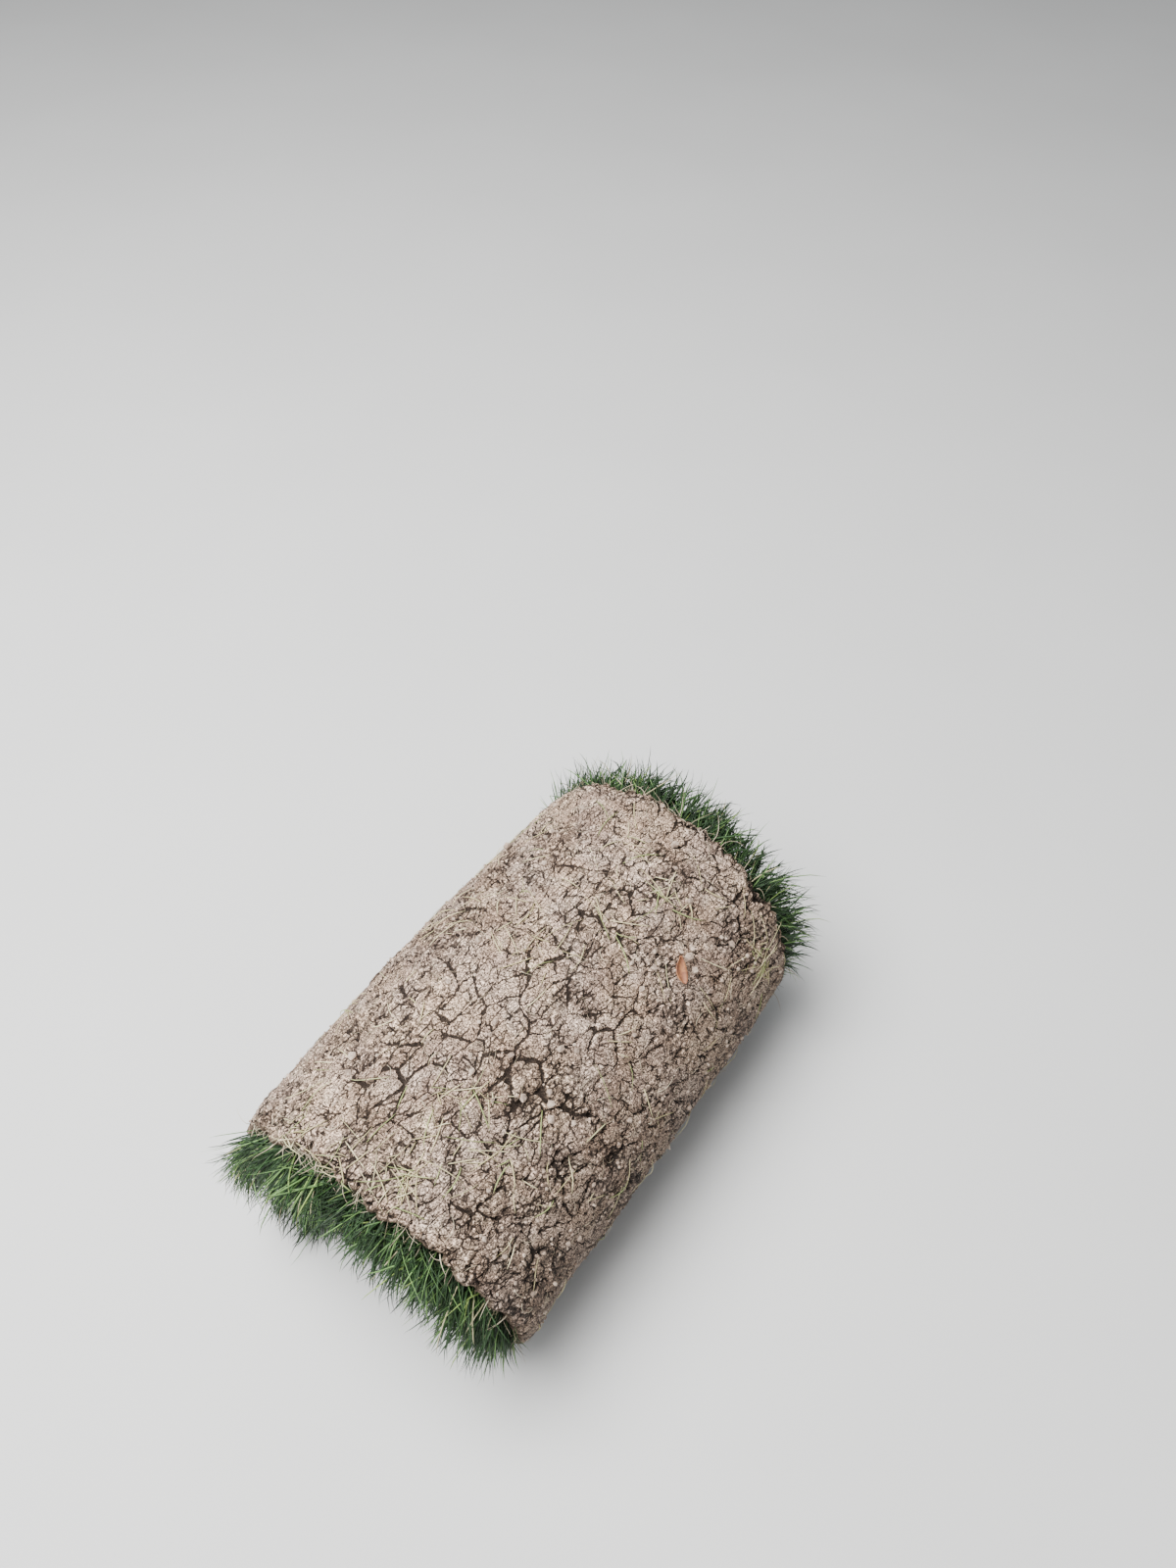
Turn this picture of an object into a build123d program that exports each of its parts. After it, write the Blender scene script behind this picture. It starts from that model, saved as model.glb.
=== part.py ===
from build123d import *
import os
from math import asin, atan2, degrees

# A roll of turf: one strip of lawn, cut with its soil and wound up with the soil outside.
# The roll lies along X on the level floor Z = 0. All sizes are in millimetres.
# Seen along X, each turn is an upper half circle, two lower quarter circles and a flat
# between them, because the soft strip settles and its turns are pressed together underneath.
# The soft roll is fullest near its middle, and its near end slumps inwards low on the -Y side.

# Driving sizes
strip_width = 400.0  # the strip's width is the length of the roll
soil_thickness = 15.0  # soil held together by its roots
sward_thickness = 7.5  # grass pressed flat between two turns of soil
turn_count = 5  # whole turns outside the first tight curl
curl_radius = 26.0  # outside of the first curl, around the eye
sag_flat = 50.0  # width that the outer turn presses flat on the floor
fringe_reach = 28.0  # grass that stands out past the soil at both ends
tail_fringe = 15.0  # grass that shows past the outer end of the strip
layer_gap = 0.5  # clearance between the grass and the soil on either side of it
fullest_place = 20.0  # where along X the soft roll is at its full size
near_shrink = 0.030  # how much smaller the section is at the near end, -X
near_kept_side = 122.0  # the shrinking keeps this place low on the -Y side
near_reach = 199.5  # how far the soil of the near end reaches, level with the top of the grass
near_lean = 0.115  # the near end leans out towards its top
near_turn = 0.044  # and stands further out on its +Y side
far_shrink = 0.020  # how much smaller the section is at the far end, which keeps its middle

pitch = soil_thickness + sward_thickness
outer_radius = curl_radius + turn_count * pitch


def flat_width(top_radius):
    # Smaller turns have smaller flats
    return sag_flat * top_radius / outer_radius


def corner_radius(top_radius):
    # A turn narrows by one pitch on its way round, all of it in the lower half
    return top_radius - (pitch + flat_width(top_radius)) / 2


def flat_ends(top_radius):
    middle = -pitch / 2
    half = flat_width(top_radius) / 2
    return middle - half, middle + half


axis_height = corner_radius(outer_radius)


def upper_half(top_radius, inset):
    return CenterArc((0, axis_height), top_radius - inset, 0, 180)


def lower_half(top_radius, inset):
    radius = corner_radius(top_radius) - inset
    left, right = flat_ends(top_radius)
    CenterArc((left, axis_height), radius, 180, 90)
    Line((left, axis_height - radius), (right, axis_height - radius))
    CenterArc((right, axis_height), radius, 270, 90)


def tail(inset, run_on):
    # The strip's outer end comes down one side, until its soil touches the floor
    top_radius = outer_radius + pitch
    right = flat_ends(top_radius)[1]
    radius = corner_radius(top_radius) - inset
    angle = degrees(asin(axis_height / corner_radius(top_radius)) + run_on / radius)
    return CenterArc((right, axis_height), radius, -angle, angle)


def wind(inset, run_on=0.0):
    # One face of the strip, from its outer end to the end of the curl
    start = tail(inset, run_on) @ 0
    for turn in range(turn_count):
        top_radius = outer_radius - turn * pitch
        upper_half(top_radius, inset)
        lower_half(top_radius, inset)
    return start, upper_half(curl_radius, inset) @ 1


def wind_on_next_turn(start):
    # The face that lies on the next turn in, and past the end of the curl faces the eye
    right = flat_ends(outer_radius)[1]
    angle = degrees(atan2(axis_height - start.Y, start.X - right))
    begin = CenterArc((right, axis_height), axis_height + layer_gap, -angle, angle) @ 0
    for turn in range(1, turn_count):
        top_radius = outer_radius - turn * pitch
        upper_half(top_radius, -layer_gap)
        lower_half(top_radius, -layer_gap)
    upper_half(curl_radius, -layer_gap)
    lower_half(curl_radius + pitch, pitch - layer_gap)
    return begin, upper_half(curl_radius, pitch - layer_gap) @ 1


def near_section(past_soil):
    # The plane and the scale of the section at the near end, or further out on the same lines
    run = 1 + past_soil / (fullest_place + strip_width / 2)
    size = 1 - run * near_shrink
    stretch = run * (1 - near_shrink) / size
    lean, turn = stretch * near_lean, stretch * near_turn
    top_of_grass = 2 * outer_radius - (pitch + sag_flat) / 2 - soil_thickness
    foot = near_lean * top_of_grass * (1 - near_shrink) - near_reach
    foot = fullest_place + run * (foot - fullest_place)
    side = -near_kept_side * run * near_shrink
    plane = Plane(origin=(foot - turn * side, side, 0), x_dir=(-turn, 1, 0), z_dir=(1, turn, lean))
    return plane, size


def far_section(past_soil):
    run = 1 + past_soil / (strip_width / 2 - fullest_place)
    return Plane.YZ.offset(strip_width / 2 + past_soil), 1 - run * far_shrink


full_section = Plane.YZ.offset(fullest_place), 1.0

with BuildPart() as soil_mat:
    for plane, size in (near_section(0), full_section, far_section(0)):
        with BuildSketch(plane):
            with BuildLine():
                outer_start, outer_end = wind(0)
                inner_start, inner_end = wind(soil_thickness)
                Line(outer_start, inner_start)
                Line(outer_end, inner_end)
            make_face()
            scale(by=size)
    loft(ruled=True)

with BuildPart() as grass_sward:
    for plane, size in (near_section(fringe_reach), full_section, far_section(fringe_reach)):
        with BuildSketch(plane):
            with BuildLine():
                outer_start, outer_end = wind(soil_thickness + layer_gap, tail_fringe)
                inner_start, inner_end = wind_on_next_turn(outer_start)
                Line(outer_start, inner_start)
                Line(outer_end, inner_end)
            make_face()
            scale(by=size)
    loft(ruled=True)

os.makedirs("parts", exist_ok=True)
soil_mat.part.label = "soil_mat"
export_step(soil_mat.part, "parts/soil_mat.step")
grass_sward.part.label = "grass_sward"
export_step(grass_sward.part, "parts/grass_sward.step")
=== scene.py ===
import math

import bpy
import numpy as np
from mathutils import Matrix, Vector
from mathutils.bvhtree import BVHTree


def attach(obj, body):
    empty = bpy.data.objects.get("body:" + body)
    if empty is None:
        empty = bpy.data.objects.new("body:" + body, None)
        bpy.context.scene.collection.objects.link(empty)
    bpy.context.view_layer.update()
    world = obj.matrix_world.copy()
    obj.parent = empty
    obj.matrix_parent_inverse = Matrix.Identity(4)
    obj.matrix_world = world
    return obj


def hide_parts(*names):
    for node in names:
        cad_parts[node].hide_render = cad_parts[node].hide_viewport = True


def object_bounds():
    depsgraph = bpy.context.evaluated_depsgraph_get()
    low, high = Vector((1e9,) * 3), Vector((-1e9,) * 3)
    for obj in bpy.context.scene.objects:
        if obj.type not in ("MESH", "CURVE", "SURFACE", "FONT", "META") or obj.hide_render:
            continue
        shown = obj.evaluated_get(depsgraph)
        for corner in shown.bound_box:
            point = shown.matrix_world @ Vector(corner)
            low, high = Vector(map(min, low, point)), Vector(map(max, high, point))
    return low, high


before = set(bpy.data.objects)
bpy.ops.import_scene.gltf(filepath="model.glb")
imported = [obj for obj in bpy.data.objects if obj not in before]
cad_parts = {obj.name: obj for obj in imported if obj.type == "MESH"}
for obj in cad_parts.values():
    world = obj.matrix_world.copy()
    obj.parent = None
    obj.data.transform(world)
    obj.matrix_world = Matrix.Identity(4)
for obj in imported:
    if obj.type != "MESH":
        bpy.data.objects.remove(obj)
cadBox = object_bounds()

rng = np.random.default_rng(41)


# Small helpers for objects and edit mode

def deselectAll():
    for each in bpy.context.selected_objects:
        each.select_set(False)


def takeUp(thing):
    deselectAll()
    thing.select_set(True)
    bpy.context.view_layer.objects.active = thing


def readPoints(thing):
    points = np.empty(len(thing.data.vertices) * 3)
    thing.data.vertices.foreach_get("co", points)
    return points.reshape(-1, 3)


def writePoints(thing, points):
    thing.data.vertices.foreach_set("co", np.asarray(points, dtype=np.float32).ravel())
    thing.data.update()


def keepAbove(thing, height):
    points = readPoints(thing)
    points[:, 2] = np.maximum(points[:, 2], height)
    writePoints(thing, points)


def shadeSmooth(thing):
    for each in thing.data.polygons:
        each.use_smooth = True


def justMade(name):
    thing = bpy.context.object
    thing.name = thing.data.name = name
    return thing


def copyOut(thing, count, offset):
    # What repeats is modelled once; each copy is moved to its own place later
    copies = thing.modifiers.new("copies", "ARRAY")
    copies.count = count
    copies.relative_offset_displace = offset
    bpy.ops.object.modifier_apply(modifier=copies.name)


def splitEdges(thing, chosen, cuts):
    # Subdivides the edges that chosen marks, with one value for each edge
    bpy.ops.object.mode_set(mode="EDIT")
    bpy.ops.mesh.select_all(action="DESELECT")
    bpy.ops.mesh.select_mode(type="EDGE")
    bpy.ops.object.mode_set(mode="OBJECT")
    thing.data.edges.foreach_set("select", chosen)
    bpy.ops.object.mode_set(mode="EDIT")
    bpy.ops.mesh.subdivide(number_cuts=cuts)
    bpy.ops.object.mode_set(mode="OBJECT")


def keepVector(thing, name, values):
    slot = thing.data.attributes.new(name, "FLOAT_VECTOR", "POINT")
    slot.data.foreach_set("vector", np.asarray(values, dtype=np.float32).ravel())


def smoothStep(low, high, x):
    t = np.clip((x - low) / (high - low), 0, 1)
    return t * t * (3 - 2 * t)


def addPiece(thing, slotName, material, *replacedNodes):
    thing.data.materials.clear()
    thing.data.materials.append(material)
    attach(thing, "root")
    if replacedNodes:
        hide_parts(*replacedNodes)


# Node writing: a wrapped socket does maths, and a graph adds every other node

class Wire:
    def __init__(self, graph, socket):
        self.graph, self.socket = graph, socket

    def maths(self, operation, *values):
        return self.graph.add("ShaderNodeMath", {"operation": operation}, *values)

    def __add__(self, other):
        return self.maths("ADD", self, other)

    def __sub__(self, other):
        return self.maths("SUBTRACT", self, other)

    def __mul__(self, other):
        return self.maths("MULTIPLY", self, other)

    def __truediv__(self, other):
        return self.maths("DIVIDE", self, other)

    def __rsub__(self, other):
        return self.maths("SUBTRACT", other, self)

    __radd__ = __add__
    __rmul__ = __mul__

    def atLeast(self, other):
        return self.maths("MAXIMUM", self, other)

    def atMost(self, other):
        return self.maths("MINIMUM", self, other)


class Graph:
    def __init__(self, tree):
        self.tree = tree

    def add(self, kind, settings, *values, out=0, **named):
        node = self.tree.nodes.new(kind)
        for name, setting in settings.items():
            setattr(node, name, setting)
        for key, value in list(enumerate(values)) + list(named.items()):
            if isinstance(value, Wire):
                self.tree.links.new(value.socket, node.inputs[key])
            elif value is not None:  # None leaves a socket as it is
                node.inputs[key].default_value = value
        return Wire(self, node.outputs[out])

    def attribute(self, name, out="Fac"):
        return self.add("ShaderNodeAttribute", {"attribute_name": name}, out=out)

    def objectPlace(self):
        return self.add("ShaderNodeTexCoord", {}, out="Object")

    def axis(self, wire, name):
        return self.add("ShaderNodeSeparateXYZ", {}, wire, out=name)

    def smooth(self, low, high, wire):
        return self.add("ShaderNodeMapRange", {"interpolation_type": "SMOOTHSTEP"}, wire, low, high)

    def noise(self, place, scale, detail=2.0, roughness=0.5, out=0):
        return self.add("ShaderNodeTexNoise", {}, out=out, Vector=place, Scale=scale,
                        Detail=detail, Roughness=roughness)

    def cells(self, place, scale, feature, out=0, flat=True):
        kind = {"feature": feature, "voronoi_dimensions": "2D" if flat else "3D"}
        return self.add("ShaderNodeTexVoronoi", kind, out=out, Vector=place, Scale=scale)

    def vector(self, operation, *values, out=0, **named):
        return self.add("ShaderNodeVectorMath", {"operation": operation}, *values, out=out, **named)

    def shifted(self, place, scale, amount, detail=1.0):
        push = self.vector("SUBTRACT", self.noise(place, scale, detail, out="Color"), (0.5, 0.5, 0.5))
        return self.vector("ADD", place, self.vector("MULTIPLY", push, (amount, amount, 0.0)))

    def blend(self, factor, first, second):
        # The colours of a Mix node are its seventh and eighth sockets
        tones = [tone if isinstance(tone, Wire) else (*tone, 1.0) for tone in (first, second)]
        return self.add("ShaderNodeMix", {"data_type": "RGBA"}, factor, *[None] * 5, *tones, out=2)


def newMaterial(name):
    material = bpy.data.materials.new(name)
    material.use_nodes = True
    graph = Graph(material.node_tree)
    return material, graph, material.node_tree.nodes["Principled BSDF"]


def plug(shader, name, wire):
    wire.graph.tree.links.new(wire.socket, shader.inputs[name])


def finishShader(shader, colour, roughness, relief, strength, distance):
    plug(shader, "Base Color", colour)
    plug(shader, "Roughness", roughness)
    bump = relief.graph.add("ShaderNodeBump", {}, Strength=strength, Distance=distance, Height=relief)
    plug(shader, "Normal", bump)


# The winding: where a place on the flat strip goes when the strip is rolled up

winding = {
    "pitch": 0.0225,  # one turn of soil and pressed grass
    "soil": 0.015,
    "sward": 0.0075,
    "turns": 5,
    "width": 0.400,
}
winding["outside"] = (cadBox[1].y - cadBox[0].y) / 2
winding["axis"] = cadBox[1].z - winding["outside"]
winding["sagFlat"] = 2 * (winding["outside"] - winding["axis"]) - winding["pitch"]


def windingRuns():
    # Arcs as (start, length, middle, radius, first angle), flats with radius 0 and a height
    pitch, outside, axis = winding["pitch"], winding["outside"], winding["axis"]
    runs, start = [], 0.0

    def flatOf(top):
        return winding["sagFlat"] * top / outside

    def corner(top):
        return top - (pitch + flatOf(top)) / 2

    def arc(middle, radius, first, sweep):
        nonlocal start
        runs.append((start, radius * sweep, middle, radius, first))
        start += radius * sweep

    tailTop = outside + pitch
    tailAngle = math.asin(axis / corner(tailTop))
    arc((flatOf(tailTop) - pitch) / 2, corner(tailTop), -tailAngle, tailAngle)
    for turn in range(winding["turns"]):
        top = outside - turn * pitch
        half = flatOf(top) / 2
        arc(0.0, top, 0.0, math.pi)
        arc(-pitch / 2 - half, corner(top), math.pi, math.pi / 2)
        runs.append((start, 2 * half, -pitch / 2 - half, 0.0, corner(top)))
        start += 2 * half
        arc(-pitch / 2 + half, corner(top), 1.5 * math.pi, math.pi / 2)
    arc(0.0, outside - winding["turns"] * pitch, 0.0, math.pi)
    return np.array(runs), start


runs, stripLength = windingRuns()
print("winding holds", round(stripLength, 3), "m of strip")


def rollUp(along, depth):
    # Y and Z of a place on the strip, and its outward direction there
    index = np.clip(np.searchsorted(runs[:, 0], along, side="right") - 1, 0, len(runs) - 1)
    start, _, middle, radius, first = runs[index].T
    isFlat = radius == 0
    angle = np.where(isFlat, -math.pi / 2, first + (along - start) / np.where(isFlat, 1.0, radius))
    out = np.stack([np.cos(angle), np.sin(angle)], axis=-1)
    y = np.where(isFlat, middle + along - start, middle + (radius - depth) * out[..., 0])
    z = winding["axis"] + np.where(isFlat, depth - first, (radius - depth) * out[..., 1])
    return y, z, out


settling = {
    "fullest": 0.020,  # where along X the soft roll is at its full size
    "nearShrink": 0.030,  # the near end is smaller and leans out towards its top
    "nearKeptSide": 0.122,
    "nearReach": 0.1995,
    "nearLean": 0.115,
    "nearTurn": 0.044,
    "farShrink": 0.020,
    "flare": 0.009,  # crumbled soil spreads at the near end's low corner
    "bend": 0.006,  # rounds the bend between the two halves
}


def settle(points):
    # The soft roll's slump, the same for everything that is part of it
    x, y, z = points.T
    look = settling
    keep = 1 - look["nearShrink"]
    grassTop = cadBox[1].z - winding["soil"]
    nearY = y * keep - look["nearKeptSide"] * look["nearShrink"]
    nearZ = z * keep / math.hypot(1, look["nearLean"])
    nearX = look["nearLean"] * (grassTop * keep - nearZ) - look["nearReach"] - look["nearTurn"] * nearY
    near = (look["fullest"] - x) / (look["fullest"] + winding["width"] / 2)
    far = (x - look["fullest"]) / (winding["width"] / 2 - look["fullest"])
    nearPart = (near + np.sqrt(near ** 2 + look["bend"])) / 2
    farPart = (far + np.sqrt(far ** 2 + look["bend"])) / 2
    moved = points.copy()
    moved[:, 0] = np.where(near > 0, look["fullest"] + near * (nearX - look["fullest"]), x)
    moved[:, 1] = y + nearPart * (nearY - y) - farPart * look["farShrink"] * y
    moved[:, 2] = z + nearPart * (nearZ - z) - farPart * look["farShrink"] * z
    corner = smoothStep(0.72, 1.0, near) * smoothStep(-0.05, -0.11, y) * smoothStep(0.11, 0.03, z)
    moved[:, 1] -= look["flare"] * corner
    moved[:, 2] = np.maximum(moved[:, 2], 0.0)
    return moved


# Soil: the pattern of plates, cracks and crumbs, shared by its shape and its colour

soilLook = {
    "plates": 41.0,  # plates, pieces and flakes a metre
    "pieces": 98.0,
    "flakes": 190.0,
    "crumbs": 300.0,
    "plateGap": 0.0027,
    "pieceGap": 0.0019,
    "flakeGap": 0.0011,
    "finestGap": 0.00008,
    "swell": 0.005,  # heights and depths of the relief
    "lump": 0.0027,
    "crumbHeight": 0.0009,
    "plateRise": 0.0010,
    "pieceRise": 0.0008,
    "hollowDepth": 0.0040,
    "plateDepth": 0.0028,
    "pieceDepth": 0.0014,
    "flakeDepth": 0.0005,
    "pitDepth": 0.0011,
}

soilPlaces = {
    # places on the strip as along, across, radius
    "crumbly": ((0.404, -0.079, 0.030), (0.458, -0.096, 0.030), (0.500, -0.070, 0.034),
                (0.530, -0.056, 0.030), (0.458, 0.060, 0.026), (0.440, -0.160, 0.050),
                (0.330, -0.185, 0.040), (0.240, -0.180, 0.040), (0.500, -0.170, 0.050),
                (0.400, 0.080, 0.028), (0.460, 0.150, 0.030), (0.262, -0.100, 0.050),
                (0.250, 0.000, 0.050), (0.262, 0.100, 0.050)),
    "smooth": ((0.451, -0.001, 0.034), (0.302, 0.062, 0.032), (0.309, 0.006, 0.026),
               (0.311, -0.118, 0.030), (0.411, 0.051, 0.022), (0.325, -0.078, 0.024),
               (0.330, 0.175, 0.030), (0.430, -0.130, 0.022)),
    "split": ((0.315, -0.121, 0.034), (0.325, -0.068, 0.030), (0.380, -0.066, 0.032),
              (0.404, -0.079, 0.020), (0.340, 0.010, 0.022), (0.458, -0.096, 0.024),
              (0.420, 0.005, 0.022), (0.360, 0.075, 0.020)),
    "hollow": ((0.404, -0.079, 0.009), (0.462, -0.088, 0.007), (0.494, -0.062, 0.008),
               (0.535, -0.050, 0.006)),
}


def placeMask(graph, place, spots):
    mask = 0.0
    for along, across, radius in spots:
        away = graph.vector("DISTANCE", place, (along, across, 0.0), out=1)
        mask = (1 - graph.smooth(radius * 0.45, radius * 1.15, away)).atLeast(mask)
    return mask


def soilPattern(graph, place):
    look = soilLook
    flat = graph.vector("MULTIPLY", place, (1.0, 1.0, 0.0))
    bent = graph.shifted(graph.shifted(flat, 24.0, 0.018), 170.0, 0.0038, 2.0)
    # Gaps run along the roll more than around it
    wide = graph.vector("MULTIPLY", bent, (1.38, 0.74, 1.0))
    crumblyHere = placeMask(graph, bent, soilPlaces["crumbly"])
    smoothHere = placeMask(graph, bent, soilPlaces["smooth"])
    splitHere = placeMask(graph, bent, soilPlaces["split"])
    hollow = placeMask(graph, bent, soilPlaces["hollow"])
    aside = graph.vector("ADD", flat, (3.1, 7.7, 0.0))
    crumbly = graph.smooth(0.45, 0.62, graph.noise(flat, 15.0, 3.0, 0.6))
    crumbly = (crumbly * (1 - smoothHere.atLeast(splitHere * 0.6)) + crumblyHere * 0.8).atMost(1.0)
    split = graph.smooth(0.44, 0.66, graph.noise(aside, 17.0, 2.0, 0.6))
    split = (split * (1 - smoothHere * 0.6) + splitHere * 0.8).atMost(1.0)
    broken = graph.smooth(0.40, 0.60, graph.noise(aside, 60.0, 2.0, 0.6))  # leaves gaps unfinished

    def gapLevel(count, width):
        edge = graph.cells(wide, count, "DISTANCE_TO_EDGE") / count
        return 1 - graph.smooth(0.0, 1.0, edge / (width + look["finestGap"]))

    def cellShade(count):
        return graph.axis(graph.cells(wide, count, "F1", out="Color"), "X")

    uneven = graph.smooth(0.36, 0.64, graph.noise(aside, 125.0, 2.0, 0.6))
    joined = (0.34 + broken.atLeast(splitHere * 0.8) * 0.66) * (0.50 + uneven * 0.9)
    plateGap = gapLevel(look["plates"], (0.46 + split * 0.62) * joined * look["plateGap"])
    pieceWidth = 0.50 + crumbly * 0.42 + split * 0.15
    pieceGap = gapLevel(look["pieces"], pieceWidth * (0.2 + broken * 0.8) * look["pieceGap"])
    flakeGap = gapLevel(look["flakes"], (0.50 + crumbly * 0.50) * broken * look["flakeGap"])
    pits = graph.smooth(0.40, 0.30, graph.noise(place, 230.0, 2.0, 0.6)) * (0.30 + crumbly * 0.70)
    crumb = 1 - graph.smooth(0.0, 0.95, graph.cells(place, look["crumbs"], "F1", flat=False))
    plateShade, pieceShade = cellShade(look["plates"]), cellShade(look["pieces"])
    swell = graph.noise(flat, 7.0, 2.0) - 0.5
    lump = graph.noise(place, 75.0, 3.0, 0.65) - 0.5
    height = swell * look["swell"] + lump * (0.18 + crumbly * 1.1) * look["lump"]
    height = height + crumb * (0.03 + crumbly) * look["crumbHeight"] - hollow * look["hollowDepth"]
    height = height + plateShade * look["plateRise"] + pieceShade * (0.2 + crumbly) * look["pieceRise"]
    height = height - plateGap * look["plateDepth"] - pieceGap * look["pieceDepth"]
    height = height - flakeGap * look["flakeDepth"] - pits * look["pitDepth"]
    return {"plateGap": plateGap, "pieceGap": pieceGap, "flakeGap": flakeGap, "crumbly": crumbly,
            "crumb": crumb, "height": height, "pieceShade": pieceShade, "hollow": hollow, "pits": pits}


def makeCrackModifier():
    tree = bpy.data.node_groups.new("crackedSoil", "GeometryNodeTree")
    tree.interface.new_socket("Geometry", in_out="INPUT", socket_type="NodeSocketGeometry")
    tree.interface.new_socket("Geometry", in_out="OUTPUT", socket_type="NodeSocketGeometry")
    graph = Graph(tree)
    source = graph.add("NodeGroupInput", {})
    place = graph.add("GeometryNodeInputNamedAttribute", {"data_type": "FLOAT_VECTOR"}, "flatPlace")
    pattern = soilPattern(graph, place)
    normal = graph.add("GeometryNodeInputNormal", {})
    offset = graph.vector("SCALE", normal, Scale=pattern["height"])
    moved = graph.add("GeometryNodeSetPosition", {}, source, Offset=offset)
    result = tree.nodes.new("NodeGroupOutput")
    tree.links.new(moved.socket, result.inputs[0])
    return tree


soilTones = {
    "brown": (0.360, 0.248, 0.190),
    "dry": (0.580, 0.420, 0.324),
    "pale": (0.740, 0.575, 0.455),
    "yellower": (1.02, 1.00, 0.92),  # these two multiply the others
    "greyer": (0.98, 0.99, 1.00),
    "darkPiece": (0.250, 0.176, 0.136),
    "speck": (0.100, 0.070, 0.053),
    "between": (0.085, 0.060, 0.047),  # painted shade around crumbs
    # painted shade deep in cracks, pits and hollows
    "paintedCrackShade": (0.012, 0.008, 0.006),
    # darker soil low down: partly damp, partly painted shade
    "dampAndPaintedShade": (0.088, 0.078, 0.073),
    "fibreDark": (0.060, 0.042, 0.030),  # on the rims
    "fibreLight": (0.210, 0.155, 0.110),
}


def soilMaterial(name):
    material, graph, shader = newMaterial(name)
    tones = soilTones
    place = graph.attribute("flatPlace", "Vector")
    pattern = soilPattern(graph, place)
    patches = graph.noise(place, 10.0, 3.0, 0.6)
    mottle = graph.noise(place, 55.0, 3.0, 0.6)
    speckle = graph.noise(place, 440.0, 3.0, 0.7)
    grain = graph.noise(place, 760.0, 2.0, 0.7)
    crumbPlace = graph.shifted(place, 420.0, 0.0022)
    crumbTone = graph.axis(graph.cells(crumbPlace, 330.0, "F1", out="Color", flat=False), "X")
    dry = graph.blend(graph.smooth(0.40, 0.62, patches), tones["brown"], tones["dry"])
    dry = graph.blend(graph.smooth(0.44, 0.66, mottle) * 0.65, dry, tones["pale"])
    warmth = graph.noise(graph.vector("ADD", place, (5.3, 2.9, 0.0)), 21.0, 3.0, 0.6)
    yellower = graph.vector("MULTIPLY", dry, tones["yellower"])
    greyer = graph.vector("MULTIPLY", dry, tones["greyer"])
    dry = graph.blend(graph.smooth(0.40, 0.60, warmth), greyer, yellower)
    dry = graph.blend(pattern["pieceShade"] * 0.35, dry, tones["darkPiece"])
    dry = graph.blend(graph.smooth(0.515, 0.585, speckle) * 0.84, dry, tones["speck"])
    crumbContrast = 0.50 + pattern["crumbly"] * 0.60
    grainTone = 0.26 + graph.smooth(0.40, 0.60, grain) * 1.54
    dry = graph.vector("SCALE", dry, Scale=(1 + (crumbTone - 0.5) * crumbContrast * 1.15) * grainTone)
    # painted shade in the gaps between crumbs
    between = (1 - pattern["crumb"]) * (0.20 + pattern["crumbly"] * 0.72)
    dry = graph.blend(graph.smooth(0.40, 0.95, between) * 0.70, dry, tones["between"])
    # painted shade in the cracks, pits and hollows; the same mask also deepens the bump
    paintedGapShade = graph.smooth(0.30, 0.75, pattern["plateGap"])
    paintedGapShade = paintedGapShade + graph.smooth(0.40, 0.85, pattern["pieceGap"]) * 0.9
    paintedGapShade = paintedGapShade + graph.smooth(0.3, 0.8, pattern["flakeGap"]) * 0.7
    paintedGapShade = (paintedGapShade + pattern["pits"] * 0.70 + pattern["hollow"] * 0.75).atMost(1.0)
    dry = graph.blend(paintedGapShade * 0.96, dry, tones["paintedCrackShade"])
    height = graph.axis(graph.objectPlace(), "Z")
    dampAndPaintedShade = (1 - graph.smooth(0.01, 0.21, height)) * 0.80  # the soil is darker towards the ground: partly damper soil, partly painted shade on its low side
    colour = graph.blend(dampAndPaintedShade, dry, tones["dampAndPaintedShade"])
    fibres = graph.noise(graph.vector("MULTIPLY", place, (1.0, 0.2, 1.0)), 520.0, 2.0, 0.7)
    rim = graph.blend(graph.smooth(0.4, 0.62, fibres), tones["fibreDark"], tones["fibreLight"])
    colour = graph.blend(graph.smooth(0.002, 0.006, graph.axis(place, "Z")) * 0.85, colour, rim)
    relief = speckle * -0.0012 + grain * 0.0009 + crumbTone * 0.0005 - paintedGapShade * 0.0014
    relief = relief + pattern["crumb"] * (0.05 + pattern["crumbly"] * 0.85) * 0.0010
    finishShader(shader, colour, 0.98 - speckle * 0.12, relief, 1.0, 1.0)
    shader.inputs["Specular IOR Level"].default_value = 0.15
    return material


# Strips: a block at its size, cut across and along, then rolled up

def addStrip(name, first, last, top, thickness, width, columns, rows, sideRows):
    length = last - first
    deselectAll()
    bpy.ops.mesh.primitive_cube_add(size=1, location=(first + length / 2, 0, -top - thickness / 2))
    strip = justMade(name)
    strip.scale = (length, width, thickness)
    bpy.ops.object.transform_apply(location=True, rotation=False, scale=True)
    cutEdges(strip, 0, None, columns)
    cutEdges(strip, 1, -top, rows)
    cutEdges(strip, 2, None, sideRows)
    return strip


def cutEdges(strip, direction, level, parts):
    # One call makes at most 100 cuts, so many parts take two rounds
    mostParts = 60
    rounds = math.ceil(parts / mostParts)
    cutOnce(strip, direction, level, rounds)
    cutOnce(strip, direction, level, round(parts / rounds))


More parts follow.
